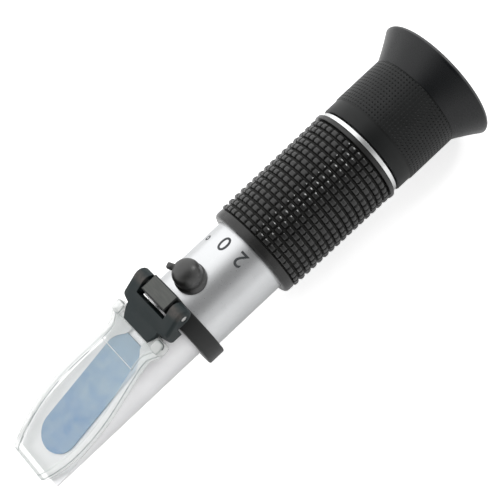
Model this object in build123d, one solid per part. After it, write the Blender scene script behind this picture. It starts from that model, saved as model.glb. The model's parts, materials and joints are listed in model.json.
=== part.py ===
from build123d import *
import math
import os

# Handheld antifreeze refractometer, in millimetres.
# The optical axis lies along X, from the nose (-X) to the eyepiece (+X). +Z is the side with the
# daylight plate, the hinge and the calibration screw. The origin is on the table plane, under the
# middle of the overall length, so the axis runs at the height of the eyecup's radius.

# Lengths along the axis, from the nose to the eyepiece
plate_overhang = 1.8        # daylight plate beyond the nose tip
nose_length = 52.9          # nose tip to the hinge collar
collar_width = 5.3
bare_tube_length = 23.4     # collar to rubber grip
grip_length = 41.3
end_ring_width = 1.6
barrel_gap = 0.3            # end ring to focusing barrel at rest
barrel_length = 21.0
eyecup_length = 9.4

# Diameters
nose_d = 20.8
collar_d = 29.0
tube_d = 24.3
tube_wall = 1.0
grip_front_d = 29.2         # smooth band at the front of the grip
grip_rear_d = 30.8          # smooth band at the rear of the grip
end_ring_d = 29.1
barrel_band_d = 29.9        # smooth band of the focusing barrel
barrel_knurl_d = 30.4
eyecup_neck_d = 30.0
eyecup_rim_d = 40.0

# Clearances and fits
seat_fit = 0.05             # radial, between fixed round pieces
running_fit = 0.15          # radial, between sliding or turning round pieces
pin_fit = 0.05              # radial, hinge pin in the lug
moving_gap = 0.3            # between faces of pieces that move apart
cut_over = 1.0              # how far a cutting shape stands past the surface that it opens

# Slanted face of the nose with the prism
slope_angle = 15.0
face_station = 39.7         # from the nose tip to the point where the prism's height is given
face_height = 8.45          # prism face above the axis, at that point
prism_proud = 0.5           # prism face above the metal around it
prism_length = 38.9         # along the slope
prism_start = 2.5           # from the given point towards the hinge, along the slope
prism_width = 12.4
prism_end_width = 8.6       # narrow end at the hinge
prism_shoulder = 5.0        # length of the taper at the hinge end
prism_floor = 7.0           # underside of the prism below the axis
bedding_thickness = 0.3
light_bore_d = 9.6

# Nose spigot and collar
spigot_length = 5.0
collar_web = 2.6            # part of the collar ahead of the tube's end
seal_width = 0.9
seal_station = 2.4          # behind the collar's step
edge_break = 0.3

# Hinge
lug_width = 10.0
lug_top = 18.5              # above the axis
lug_root = 1.0              # lug's foot above the tube's surface
pin_height = 16.2           # above the axis
pin_d = 1.8
pin_from_collar = 2.4       # behind the collar's front face
bracket_width = 19.8
slot_width = 11.8
slot_ahead = 1.8            # upper edge of the slot's end wall, ahead of the collar
slot_wall_lean = 15.0       # slope of the slot's end wall
arm_end_r = 2.6
bracket_reach = 8.8         # tongue's tip ahead of the collar
bracket_lip = 0.75          # tongue's thickness at its tip
bracket_underside = 11.2    # above the axis, ahead of the collar
bracket_front_gap = 0.6     # between the bracket's step and the collar's front face
shoulder_reach = 4.3        # where the full width ends, ahead of the collar
shoulder_sweep = 0.8
notch_width = 13.2          # bracket's width between the notches
notch_reach = 5.9
tongue_mid_width = 11.6
tongue_tip_width = 10.3
tongue_taper = 1.1
bracket_round = 1.0

# Daylight plate, measured along the slope from its tip
plate_thickness = 2.2
plate_tip_width = 14.2
plate_belly_width = 22.0
plate_belly_at = 22.0
plate_neck_width = 16.8
plate_neck_at = 42.6
plate_length = 50.6
ear_width = 20.9
ear_length = 3.6
ear_flare = 3.4             # length of the flare from the neck to the ears
ear_gap_width = 14.0        # between the two ears
ear_rise = 1.3              # above the plate's face
ear_corner_r = 0.7
ear_flare_r = 2.0           # rounding where the neck runs into the flare
plate_border = 1.9
plate_recess = 0.35
recess_rear_at = 39.1
plate_corner_r = 0.5

# Calibration screw, its bush and its rubber cap
screw_station = 6.2         # behind the collar
screw_d = 3.0
screw_top = 15.9            # above the axis
slot_depth = 0.9
slot_cut = 0.6
bush_d = 6.0
bush_rise = 2.6             # above the tube
bush_inside = 1.2           # inside the tube's bore
bush_flange_d = 7.6
bush_flange = 0.5
cap_skirt_d = 9.0
cap_dome_d = 8.2
cap_skirt = 1.7
cap_skirt_drop = 1.4        # skirt's reach below the tube's top line
cap_crease = 0.25           # slope between the skirt and the dome
cap_height = 7.5            # above the tube
cap_crown = 2.9             # height of the domed part
cap_roof = 1.6
cap_tab_width = 1.6
cap_tab_length = 1.9
cap_tab_thickness = 1.2
cap_tab_angle = 113.0
cap_tab_drop = 2.4          # tab's middle below the cap's top
cap_tab_root = 0.5          # tab's overlap with the dome
cap_seat_gap = 0.2

# Objective lens, its carrier and the temperature compensation
carrier_d = 16.0
carrier_length = 12.0
carrier_lip = 1.0
carrier_flat = 7.5          # flat underside, below the axis
pad_from_front = 3.4        # screw's axis behind the carrier's front
carrier_pad = 0.9           # lip of the pad over the screw's foot
pad_d = 5.0
pad_root = 0.4              # pad's foot above the lens's bore
carrier_top = 8.55          # top of the pad above the axis
foot_d = 4.0
foot_thickness = 0.6
foot_gap = 0.1
objective_d = 13.0
objective_edge = 2.0
objective_bulge = 1.1
shift_range = 0.25          # carrier travel each way
strip_width = 5.0
strip_thickness = 0.5
strip_length = 22.0
strip_overlap = 6.0
small_screw_d = 1.6
small_head_d = 2.4
small_head = 0.8
small_slot = 0.4
strip_screw_pitch = 2.7
strip_screw_bite = 0.8      # share of the carrier's wall that a strip screw fills
block_length = 8.0
block_width = 7.0
block_roof = 1.2
block_screw_head_d = 3.4
block_screw_length = 1.9
spring_width = 4.0
spring_thickness = 0.3
spring_foot = 4.0
spring_rise = 4.6
spring_nose = 1.2

# Reticle with the scale, and its holder
holder_from_end = 11.5      # holder's front ahead of the tube's rear end
holder_length = 5.0
holder_lip = 1.2
holder_ledge = 1.2          # radial depth of the ledge that carries the glass
reticle_d = 17.0
reticle_thickness = 1.5
baffle_ahead = 5.8          # baffle's front ahead of the reticle holder
baffle_sleeve = 4.0
baffle_thickness = 1.0
baffle_bore_d = 12.0

# Rear fitting and focusing eyepiece
fitting_spigot = 5.5
boss_d = 25.2
boss_length = 14.0
boss_light_d = 16.0
key_d = 1.8
key_from_end = 1.5          # key's middle ahead of the boss's rear end
key_reach = 0.7             # key's depth in the cell's groove
key_groove_play = 0.2
focus_travel = 3.0
cell_wall = 1.5
cell_d = 19.2
key_cover = 0.7             # cell left ahead of the key at full travel
web_thickness = 1.5
cell_flange_d = 23.2
cell_flange = 1.5
thrust_gap = 0.1            # end play of the cell's flange
thrust_ring_width = 1.8
barrel_counterbore_d = 24.6
barrel_band_length = 4.7
barrel_step = 0.35          # chamfer at the barrel's front and between band and knurl
cup_spigot_d = 26.8
cup_spigot_length = 1.5
field_lens_edge = 1.4
field_lens_bulge = 1.2
eye_lens_edge = 1.8
eye_lens_bulge = 1.5
lens_lip = 1.0
cell_tail = 2.6             # cell behind its flange
lock_ring_width = 1.0

# Eyecup
cup_wall = 1.5
cup_lip_r = 0.9             # rounding from the widest point to the rim
cup_floor = 1.6
cup_window_d = 19.0
cup_inner_break = 0.4

# Grip pattern
grip_rows = 16
grip_front_band = 3.0
grip_rear_band = 1.7
grip_columns = 40
grip_stud_front_d = 29.8
grip_stud_rear_d = 30.4
stud_height = 1.05
stud_length = 1.35          # along the tube
stud_foot_width = 1.7       # round the tube
stud_top_width = 1.05
stud_floor_gap = 0.05       # foot of a stud row above the sleeve between the rows

# Stations along X, worked out from the lengths above
overall_length = (plate_overhang + nose_length + collar_width + bare_tube_length + grip_length
                  + end_ring_width + barrel_gap + barrel_length + eyecup_length)
plate_tip_x = -overall_length / 2
nose_x = plate_tip_x + plate_overhang
collar_x = nose_x + nose_length
collar_rear_x = collar_x + collar_width
tube_x = collar_x + collar_web
grip_x = collar_rear_x + bare_tube_length
grip_rear_x = grip_x + grip_length
end_ring_x = grip_rear_x + end_ring_width
barrel_x = end_ring_x + barrel_gap
neck_x = barrel_x + barrel_length
rim_x = neck_x + eyecup_length
axis_z = eyecup_rim_d / 2
tube_r = tube_d / 2
bore_r = tube_r - tube_wall
spigot_r = bore_r - seat_fit
pin_x = collar_x + pin_from_collar
screw_x = collar_rear_x + screw_station
slope = math.radians(slope_angle)
face_x = nose_x + face_station
optical_axis = Axis((0, 0, axis_z), (1, 0, 0))


def turned(*outline):
    """Solid of revolution about the optical axis, from (station, radius) points."""
    points = [(station, axis_z + radius) for station, radius in outline]
    profile = Plane.XZ * make_face(Polyline(*points, close=True))
    return revolve(profile, axis=optical_axis)


def ring(start, end, outer_r, inner_r):
    """Plain ring about the optical axis."""
    return turned((start, inner_r), (end, inner_r), (end, outer_r), (start, outer_r))


def rod(start, end, radius):
    """Plain cylinder about the optical axis."""
    return turned((start, 0), (end, 0), (end, radius), (start, radius))


def upright(centre_x, radius, low, high, inner_r=0.0):
    """Vertical cylinder or ring, between two heights above the optical axis."""
    place = Pos(centre_x, 0, axis_z + low)
    base = place * Circle(radius)
    if inner_r > 0:
        base = base - place * Circle(inner_r)
    return extrude(base, amount=high - low)


def side_slab(outline, width):
    """Slab from a side view of (station, height above the axis) points, centred on the axis."""
    points = [(station, axis_z + height) for station, height in outline]
    return extrude(Plane.XZ * make_face(Polyline(*points, close=True)), amount=width / 2, both=True)


def face_plane(offset):
    """Plane parallel to the prism's face, at a distance above it, with its X up the slope."""
    origin = (face_x - offset * math.sin(slope), 0, axis_z + face_height + offset * math.cos(slope))
    return Plane(origin=origin, x_dir=(math.cos(slope), 0, math.sin(slope)),
                 z_dir=(-math.sin(slope), 0, math.cos(slope)))


def height_on(offset, station):
    """Height above the axis of the slanted plane at a distance above the prism's face."""
    return face_height + offset / math.cos(slope) + (station - face_x) * math.tan(slope)


def lens(middle, edge, bulge, diameter):
    """Lens that bulges both ways inside a flat rim, about the optical axis."""
    clear_r = diameter / 2 - lens_lip - seat_fit
    ball_r = (clear_r ** 2 + bulge ** 2) / (2 * bulge)
    front = middle - edge / 2
    rear = middle + edge / 2
    clear = axis_z + clear_r
    rim = axis_z + diameter / 2
    outline = (Polyline((front, clear), (front, rim), (rear, rim), (rear, clear))
               + RadiusArc((rear, clear), (rear + bulge, axis_z), ball_r)
               + Line((rear + bulge, axis_z), (front - bulge, axis_z))
               + RadiusArc((front - bulge, axis_z), (front, clear), ball_r))
    return revolve(Plane.XZ * make_face(outline), axis=optical_axis)


# Nose and prism
def prism_outline(grow):
    """Outline of the prism's face on the slope, from the hinge end to the rounded tip."""
    rear = prism_start + grow
    shoulder = prism_start - prism_shoulder
    tip = prism_start - prism_length - grow
    half = prism_width / 2 + grow
    narrow = prism_end_width / 2 + grow
    round_start = tip + half
    outline = Polyline((round_start, -half), (shoulder, -half), (rear, -narrow), (rear, narrow),
                       (shoulder, half), (round_start, half))
    return make_face(outline + ThreePointArc((round_start, half), (tip, 0), (round_start, -half)))


def prism_body(grow, top, floor):
    body = extrude(face_plane(top) * prism_outline(grow), amount=-nose_d)
    keep = Pos(face_x, 0, axis_z - floor + nose_d) * Box(2 * nose_length, nose_d, 2 * nose_d)
    return body & keep


def make_nose():
    step_x = tube_x
    body = turned((nose_x, 0), (step_x + spigot_length, 0), (step_x + spigot_length, spigot_r),
                  (step_x, spigot_r), (step_x, nose_d / 2), (nose_x + edge_break, nose_d / 2),
                  (nose_x, nose_d / 2 - edge_break))
    above = extrude(face_plane(-prism_proud) * Rectangle(4 * nose_length, 2 * nose_d), amount=2 * nose_d)
    body = body - above
    body = body - prism_body(seat_fit, cut_over, prism_floor + bedding_thickness)
    body = body - rod(face_x, step_x + spigot_length, light_bore_d / 2)
    seal_x = step_x + seal_station
    return body - ring(seal_x - seal_width / 2, seal_x + seal_width / 2, spigot_r, spigot_r - seal_width)


def make_prism():
    return prism_body(0.0, 0.0, prism_floor)


def make_bedding():
    lower = prism_body(0.0, 0.0, prism_floor + bedding_thickness)
    return lower - prism_body(cut_over, cut_over, prism_floor)


def make_seal():
    seal_x = tube_x + seal_station
    half = seal_width / 2 - seat_fit
    return ring(seal_x - half, seal_x + half, spigot_r, spigot_r - seal_width + seat_fit)


# Tube and collar
def make_tube():
    body = ring(tube_x, grip_rear_x, tube_r, bore_r)
    body = body - upright(screw_x, bush_d / 2 + seat_fit, 0, tube_d)
    return body - upright(block_x + block_length / 2, block_screw_head_d / 2 + seat_fit, -tube_d, 0)


def make_collar():
    r = collar_d / 2
    body = turned((collar_x, nose_d / 2 + seat_fit), (tube_x, nose_d / 2 + seat_fit),
                  (tube_x, tube_r + seat_fit), (collar_rear_x, tube_r + seat_fit),
                  (collar_rear_x, r - edge_break), (collar_rear_x - edge_break, r),
                  (collar_x + edge_break, r), (collar_x, r - edge_break))
    lug_height = lug_top - tube_r - lug_root
    lug = Pos((collar_x + collar_rear_x) / 2, 0, axis_z + lug_top - lug_height / 2) * Box(
        collar_width, lug_width, lug_height)
    lug = chamfer(lug.faces().sort_by(Axis.Z)[-1].edges(), edge_break)
    body = body + lug
    body = body - Pos(pin_x, 0, axis_z + pin_height) * Rot(90, 0, 0) * Cylinder(
        pin_d / 2 + pin_fit, 2 * lug_width)
    screw_hole = Pos((tube_x + collar_rear_x) / 2, 0, axis_z) * Cylinder(
        small_screw_d / 2 + seat_fit, collar_d, align=(Align.CENTER, Align.CENTER, Align.MAX))
    return body - screw_hole


def make_collar_screw():
    high = -(tube_r + seat_fit)
    low = -(collar_d / 2 - edge_break)
    body = upright((tube_x + collar_rear_x) / 2, small_screw_d / 2, low, high)
    socket = upright((tube_x + collar_rear_x) / 2, small_screw_d / 4, low, low + slot_depth)
    return body - socket


# Hinge bracket and pin
def bracket_side():
    """Side view of the bracket: round arm ends, sloping roof and a tongue over the plate."""
    tip = collar_x - bracket_reach
    step = collar_x - bracket_front_gap
    plate_end = plate_end_x() + plate_thickness * math.sin(slope) + seat_fit
    pin_point = Vector(pin_x, axis_z + pin_height)
    tip_top = Vector(tip, axis_z + height_on(plate_top(), tip) + bracket_lip)
    reach = tip_top - pin_point
    lean = math.pi + math.atan2(-reach.Y, -reach.X) - math.acos(arm_end_r / reach.length)
    touch = pin_point + Vector(math.cos(lean), math.sin(lean)) * arm_end_r
    rear = pin_point + Vector(arm_end_r, 0)
    bottom = pin_point - Vector(0, arm_end_r)
    low = axis_z + bracket_underside
    above = pin_point + Vector(math.cos(lean / 2), math.sin(lean / 2)) * arm_end_r
    below = pin_point + Vector(1, -1).normalized() * arm_end_r
    round_end = ThreePointArc(touch, above, rear) + ThreePointArc(rear, below, bottom)
    lower = Polyline(bottom, (step, bottom.Y), (step, low), (plate_end, low),
                     (plate_end, axis_z + height_on(plate_top(), plate_end)),
                     (tip, axis_z + height_on(plate_top(), tip)), tip_top, touch)
    return Plane.XZ * make_face(round_end + lower)


def plate_top():
    return moving_gap + plate_thickness


def plate_end_x():
    """Station of the rear end of the plate's upper face."""
    return plate_tip_x + plate_length * math.cos(slope)


def make_bracket():
    body = extrude(bracket_side(), amount=bracket_width / 2, both=True)
    outer = body.edges().filter_by(lambda e: abs(abs(e.center().Y) - bracket_width / 2) < 0.01)
    upper = outer.filter_by(lambda e: e.center().Z > axis_z + pin_height or (
        e.center().X < collar_x - bracket_front_gap and e.center().Z > axis_z + height_on(
            plate_top(), e.center().X) + bracket_lip))
    body = fillet(upper, bracket_round)
    slot_end = collar_x - slot_ahead
    slot_high = pin_height + arm_end_r / 2
    lean = math.tan(math.radians(slot_wall_lean))
    above = lug_top + cut_over - slot_high
    below = slot_high - bracket_underside + cut_over
    slot = [(slot_end - above * lean, slot_high + above), (slot_end + below * lean, slot_high - below),
            (collar_rear_x, slot_high - below), (collar_rear_x, slot_high + above)]
    body = body - side_slab(slot, slot_width)
    for side in (1, -1):
        full = side * (bracket_width / 2 + cut_over)
        notch = Polyline((collar_x - shoulder_reach, full),
                         (collar_x - shoulder_reach, side * bracket_width / 2),
                         (collar_x - shoulder_reach - shoulder_sweep, side * notch_width / 2),
                         (collar_x - notch_reach, side * notch_width / 2),
                         (collar_x - bracket_reach + tongue_taper, side * tongue_mid_width / 2),
                         (collar_x - bracket_reach, side * tongue_tip_width / 2),
                         (collar_x - bracket_reach - cut_over, side * tongue_tip_width / 2),
                         (collar_x - bracket_reach - cut_over, full), close=True)
        body = body - extrude(Pos(0, 0, axis_z) * make_face(notch), amount=2 * lug_top)
    hole = Pos(pin_x, 0, axis_z + pin_height) * Rot(90, 0, 0) * Cylinder(pin_d / 2, bracket_width + cut_over)
    return body - hole


def make_hinge_pin():
    place = Pos(pin_x, 0, axis_z + pin_height) * Rot(90, 0, 0)
    return place * Cylinder(pin_d / 2, bracket_width - edge_break)


# Daylight plate
def plate_outline(inset, neck):
    """Outline of the plate from its cut-off tip past the belly to the neck, with X along the slope."""
    tip_half = plate_tip_width / 2 - inset
    belly_half = plate_belly_width / 2 - inset
    neck_half = plate_neck_width / 2 - inset
    tip = inset
    upper = Spline((tip, tip_half), (plate_belly_at, belly_half), (neck, neck_half),
                   tangents=[(1, 0.4), (1, -0.05)])
    lower = Spline((neck, -neck_half), (plate_belly_at, -belly_half), (tip, -tip_half),
                   tangents=[(-1, -0.05), (-1, 0.4)])
    return make_face(Line((tip, -tip_half), (tip, tip_half)) + upper
                     + Line((neck, neck_half), (neck, -neck_half)) + lower)


def make_plate():
    tip = (plate_tip_x - face_x) / math.cos(slope) + plate_top() * math.tan(slope)
    base = face_plane(moving_gap) * Pos(tip, 0)
    body = extrude(base * plate_outline(0.0, plate_neck_at), amount=plate_thickness)
    ear_rear = plate_length
    ear_front = ear_rear - ear_length
    neck_half = plate_neck_width / 2
    flare_start = ear_front - ear_flare
    root = plate_neck_at - plate_recess
    tail = Polyline((root, -neck_half), (flare_start, -neck_half), (ear_front, -ear_width / 2),
                    (ear_rear, -ear_width / 2), (ear_rear, ear_width / 2), (ear_front, ear_width / 2),
                    (flare_start, neck_half), (root, neck_half), close=True)
    body = body + extrude(base * make_face(tail), amount=plate_thickness)
    short_edges = body.edges().filter_by(Axis((0, 0, 0), face_plane(0).z_dir))
    tip_corners = short_edges.filter_by(lambda e: e.center().X < plate_tip_x + plate_thickness)
    body = fillet(tip_corners, plate_corner_r)
    flare_root_x = (base * Pos(flare_start, 0, plate_thickness / 2)).position.X
    body = fillet(short_edges.filter_by(lambda e: abs(e.center().X - flare_root_x) < edge_break), ear_flare_r)
    rear_x = (base * Pos(ear_rear, 0, plate_thickness / 2)).position.X
    body = fillet(short_edges.filter_by(lambda e: abs(e.center().X - rear_x) < edge_break), ear_corner_r)
    recess = Pos(0, 0, plate_thickness - plate_recess)
    middle = plate_outline(plate_border, recess_rear_at)
    body = body - extrude(base * recess * middle, amount=plate_thickness)
    for side in (1, -1):
        ear = Rectangle(ear_length, (ear_width - ear_gap_width) / 2)
        ear = fillet(ear.vertices().filter_by(lambda v: v.Y * side > 0), ear_corner_r)
        ear_middle = side * (ear_gap_width + ear_width) / 4
        place = base * Pos(ear_front + ear_length / 2, ear_middle, plate_thickness)
        body = body + extrude(place * ear, amount=ear_rise)
    return body


# Calibration screw, bush and cap
def make_bush():
    top = tube_r + bush_rise
    low = bore_r - bush_inside
    body = upright(screw_x, bush_d / 2, low, top)
    flange = upright(screw_x, bush_flange_d / 2, low, low + bush_flange)
    return body + flange - upright(screw_x, screw_d / 2 + running_fit, low - cut_over, top + cut_over)


def make_calibration_screw():
    foot_low = carrier_top - foot_gap - foot_thickness
    body = upright(screw_x, screw_d / 2, foot_low, screw_top)
    body = body + upright(screw_x, foot_d / 2, foot_low, foot_low + foot_thickness)
    slot = Pos(screw_x, 0, axis_z + screw_top) * Box(screw_d * 1.2, slot_cut, 2 * slot_depth)
    return body - slot


def make_cap():
    top = tube_r + cap_height
    skirt_r = cap_skirt_d / 2
    dome_r = cap_dome_d / 2
    low = tube_r - cap_skirt_drop
    crease = tube_r + cap_skirt
    shoulder = top - cap_crown
    cavity_r = bush_d / 2 + moving_gap
    roof = max(top - cap_roof, crease)
    waist = crease + cap_crease
    halfway = math.sqrt(0.5)
    side = Polyline((cavity_r, low), (skirt_r, low), (skirt_r, crease), (dome_r, waist), (dome_r, shoulder))
    dome = ThreePointArc((dome_r, shoulder), (dome_r * halfway, shoulder + cap_crown * halfway), (0, top))
    inside = Polyline((0, top), (0, roof), (cavity_r, roof), (cavity_r, low))
    axis = Axis((screw_x, 0, 0), (0, 0, 1))
    profile = Plane.XZ * Pos(screw_x, axis_z) * make_face(side + dome + inside)
    body = revolve(profile, axis=axis)
    body = body - rod(collar_rear_x, grip_x, tube_r + cap_seat_gap)
    angle = math.radians(cap_tab_angle)
    reach = dome_r + cap_tab_length / 2 - cap_tab_root
    place = Pos(screw_x + reach * math.cos(angle), reach * math.sin(angle), axis_z + top - cap_tab_drop)
    tab = Box(cap_tab_length + 2 * cap_tab_root, cap_tab_width, cap_tab_thickness)
    return body + place * Rot(0, 0, cap_tab_angle) * tab


# Objective lens on its carrier
carrier_x = screw_x - pad_from_front
carrier_rear_x = carrier_x + carrier_length
strip_x = carrier_rear_x - strip_overlap
strip_middle = -carrier_flat - strip_thickness / 2
block_x = strip_x + strip_length - block_length


def side_entry(radius, low, high):
    """Keyhole pocket for the calibration screw's foot, open to one side."""
    floor = Pos(screw_x, 0, axis_z + low)
    outline = floor * Circle(radius) + floor * Pos(0, carrier_d / 2) * Rectangle(2 * radius, carrier_d)
    return extrude(outline, amount=high - low)


def make_carrier():
    body = ring(carrier_x, carrier_x + carrier_length, carrier_d / 2, objective_d / 2 + seat_fit)
    body = body + ring(carrier_x, carrier_x + carrier_lip, carrier_d / 2, objective_d / 2 - lens_lip)
    boss = upright(screw_x, pad_d / 2, objective_d / 2 + pad_root, carrier_top + carrier_pad)
    body = body + boss
    pocket = foot_thickness + 2 * foot_gap
    body = body - side_entry(foot_d / 2 + running_fit, carrier_top - pocket, carrier_top)
    body = body - side_entry(screw_d / 2 + running_fit, carrier_top - foot_gap, carrier_top + 2 * carrier_pad)
    flat = Pos(carrier_x, 0, axis_z - carrier_flat - carrier_d) * Box(
        4 * carrier_length, 2 * carrier_d, 2 * carrier_d)
    body = body - flat
    for place in strip_screw_places():
        body = body - place * Cylinder(small_screw_d / 2 + seat_fit, carrier_d,
                                       align=(Align.CENTER, Align.CENTER, Align.MAX))
    return body


def make_objective():
    return lens(carrier_x + carrier_lip + objective_bulge + objective_edge / 2, objective_edge,
                objective_bulge, objective_d)


def make_objective_ring():
    start = carrier_x + carrier_lip + objective_bulge + objective_edge
    return ring(start, start + lock_ring_width, objective_d / 2, objective_d / 2 - lens_lip)


def make_strip():
    body = Pos(strip_x + strip_length / 2, 0, axis_z + strip_middle) * Box(
        strip_length, strip_width, strip_thickness)
    for place in strip_screw_places():
        body = body - place * Cylinder(small_screw_d / 2 + seat_fit, carrier_d)
    return body


# Temperature compensation: screws and block of the two-metal strip, and the return spring
def strip_screw_places():
    """Axes of the two screws that hold the strip under the carrier, side by side."""
    middle = strip_x + strip_overlap / 2
    return [Pos(middle, side * strip_screw_pitch / 2, axis_z) for side in (1, -1)]


def make_strip_screws():
    head_top = strip_middle - strip_thickness / 2
    wall = carrier_flat - objective_d / 2 - 2 * seat_fit
    screws = []
    for place in strip_screw_places():
        shank = place * Pos(0, 0, head_top) * Cylinder(
            small_screw_d / 2, strip_thickness + wall * strip_screw_bite,
            align=(Align.CENTER, Align.CENTER, Align.MIN))
        screw_head = place * Pos(0, 0, head_top) * Cylinder(
            small_head_d / 2, small_head, align=(Align.CENTER, Align.CENTER, Align.MAX))
        slot = place * Pos(0, 0, head_top - small_head) * Box(small_head_d, small_slot, small_head)
        screws.append(shank + screw_head - slot)
    return Compound(children=[s.solids()[0] for s in screws])


def make_strip_block():
    """Block on the tube's floor; the strip's fixed end lies in its slot with room for the travel."""
    play = moving_gap + shift_range
    top = strip_middle + strip_thickness / 2 + play + block_roof
    middle = block_x + block_length / 2
    block = Pos(middle, 0, axis_z + top - bore_r) * Box(block_length, block_width, 2 * bore_r)
    block = block & rod(block_x, block_x + block_length, bore_r - seat_fit)
    slot = Pos(middle, 0, axis_z + strip_middle) * Box(
        block_length + cut_over, strip_width + 2 * moving_gap, strip_thickness + 2 * play)
    return block - slot - upright(middle, small_screw_d / 2 + seat_fit, -tube_r, -bore_r + block_screw_length)


def make_block_screw():
    middle = block_x + block_length / 2
    head_top = -bore_r - seat_fit
    shank = upright(middle, small_screw_d / 2, head_top, -bore_r + block_screw_length - seat_fit)
    screw_head = upright(middle, block_screw_head_d / 2, head_top - small_head, head_top)
    slot = Pos(middle, 0, axis_z + head_top - small_head) * Box(block_screw_head_d, small_slot, small_head)
    return shank + screw_head - slot


def make_return_spring():
    """Bent leaf on the tube's floor whose nose lies just under the carrier's lowest place."""
    floor_z = -math.sqrt(bore_r ** 2 - (spring_width / 2) ** 2) + seat_fit
    top = -carrier_flat - shift_range - seat_fit - spring_thickness
    bend_x = screw_x + spring_rise
    middle_line = [(bend_x + spring_foot, floor_z), (bend_x, floor_z), (screw_x, top),
                   (screw_x - spring_nose, top - spring_nose / 2)]
    upper = [(station, height + spring_thickness) for station, height in reversed(middle_line)]
    return side_slab(middle_line + upper, spring_width)


# Light baffle and reticle
holder_x = grip_rear_x - holder_from_end
reticle_x = holder_x + holder_lip


def make_baffle():
    start = holder_x - baffle_ahead
    wall_rear = start + baffle_thickness
    outer = bore_r - seat_fit
    inner = outer - baffle_thickness
    return turned((start, baffle_bore_d / 2), (wall_rear, baffle_bore_d / 2), (wall_rear, inner),
                  (start + baffle_sleeve, inner), (start + baffle_sleeve, outer), (start, outer))


def make_reticle_holder():
    seat = reticle_d / 2 + seat_fit
    ledge = reticle_d / 2 - holder_ledge
    return turned((holder_x, ledge), (reticle_x, ledge), (reticle_x, seat),
                  (holder_x + holder_length, seat), (holder_x + holder_length, spigot_r),
                  (holder_x, spigot_r))


def make_reticle():
    return rod(reticle_x, reticle_x + reticle_thickness, reticle_d / 2)


def make_reticle_ring():
    start = reticle_x + reticle_thickness
    return ring(start, start + lock_ring_width, reticle_d / 2, reticle_d / 2 - holder_ledge)


# Rear fitting: the bright end ring with its spigot in the tube and the boss for the barrel
boss_rear_x = end_ring_x + boss_length
boss_r = boss_d / 2
cell_r = cell_d / 2
cell_x = boss_rear_x - key_from_end - focus_travel - key_cover
key_x = boss_rear_x - key_from_end


def make_rear_fitting():
    bore = cell_r + running_fit
    light = boss_light_d / 2
    bore_start = cell_x - 2 * moving_gap
    body = turned((grip_rear_x - fitting_spigot, light), (bore_start, light), (bore_start, bore),
                  (boss_rear_x, bore), (boss_rear_x, boss_r - edge_break),
                  (boss_rear_x - edge_break, boss_r), (end_ring_x, boss_r),
                  (end_ring_x, end_ring_d / 2 - edge_break), (end_ring_x - edge_break, end_ring_d / 2),
                  (grip_rear_x, end_ring_d / 2), (grip_rear_x, spigot_r),
                  (grip_rear_x - fitting_spigot, spigot_r))
    return body - upright(key_x, key_d / 2 + seat_fit, 0, boss_d)


def make_key():
    """Headless screw in the boss whose tip keeps the lens cell from turning."""
    body = upright(key_x, key_d / 2, cell_r - key_reach, boss_r - moving_gap)
    slot = Pos(key_x, 0, axis_z + boss_r - moving_gap) * Box(key_d, small_slot, slot_depth)
    return body - slot


# Lens cell of the eyepiece
web_x = boss_rear_x + moving_gap
flange_x = web_x + web_thickness + thrust_gap
flange_rear_x = flange_x + cell_flange
cell_rear_x = flange_rear_x + cell_tail
glass_r = cell_r - cell_wall
glass_x = cell_x + lens_lip
lock_ring_x = cell_rear_x - seat_fit - lock_ring_width
eye_lens_x = lock_ring_x - eye_lens_edge


def make_lens_cell():
    seat = glass_r + seat_fit
    body = turned((cell_x, glass_r - lens_lip), (glass_x, glass_r - lens_lip), (glass_x, seat),
                  (cell_rear_x, seat), (cell_rear_x, cell_r), (flange_rear_x, cell_r),
                  (flange_rear_x, cell_flange_d / 2), (flange_x, cell_flange_d / 2), (flange_x, cell_r),
                  (cell_x, cell_r))
    groove_end = key_x + key_d / 2 + key_groove_play
    groove_length = groove_end - cell_x + cut_over
    depth = key_reach + key_groove_play
    groove = Pos(groove_end - groove_length / 2, 0, axis_z + cell_r) * Box(
        groove_length, key_d + 2 * key_groove_play, 2 * depth)
    return body - groove


def make_field_lens():
    return lens(glass_x + field_lens_edge / 2, field_lens_edge, field_lens_bulge, 2 * glass_r)


def make_lens_spacer():
    return ring(glass_x + field_lens_edge, eye_lens_x, glass_r, glass_r - lens_lip)


def make_eye_lens():
    return lens(eye_lens_x + eye_lens_edge / 2, eye_lens_edge, eye_lens_bulge, 2 * glass_r)


def make_lock_ring():
    return ring(lock_ring_x, cell_rear_x - seat_fit, glass_r, glass_r - lens_lip)


# Focusing barrel, its thrust ring and the eyecup
def make_barrel():
    band_r = barrel_band_d / 2
    knurl_r = barrel_knurl_d / 2
    bore = boss_r + running_fit
    counter = barrel_counterbore_d / 2
    spigot_end = neck_x + cup_spigot_length
    return turned((barrel_x, bore), (web_x, bore), (web_x, cell_r + running_fit),
                  (web_x + web_thickness, cell_r + running_fit), (web_x + web_thickness, counter),
                  (spigot_end, counter), (spigot_end, cup_spigot_d / 2), (neck_x, cup_spigot_d / 2),
                  (neck_x, knurl_r), (barrel_x + barrel_band_length, knurl_r),
                  (barrel_x + barrel_band_length - barrel_step, band_r),
                  (barrel_x + barrel_step, band_r), (barrel_x, band_r - barrel_step))


def make_thrust_ring():
    start = flange_rear_x + thrust_gap
    return ring(start, start + thrust_ring_width, barrel_counterbore_d / 2 - seat_fit, cell_r + running_fit)


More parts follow.
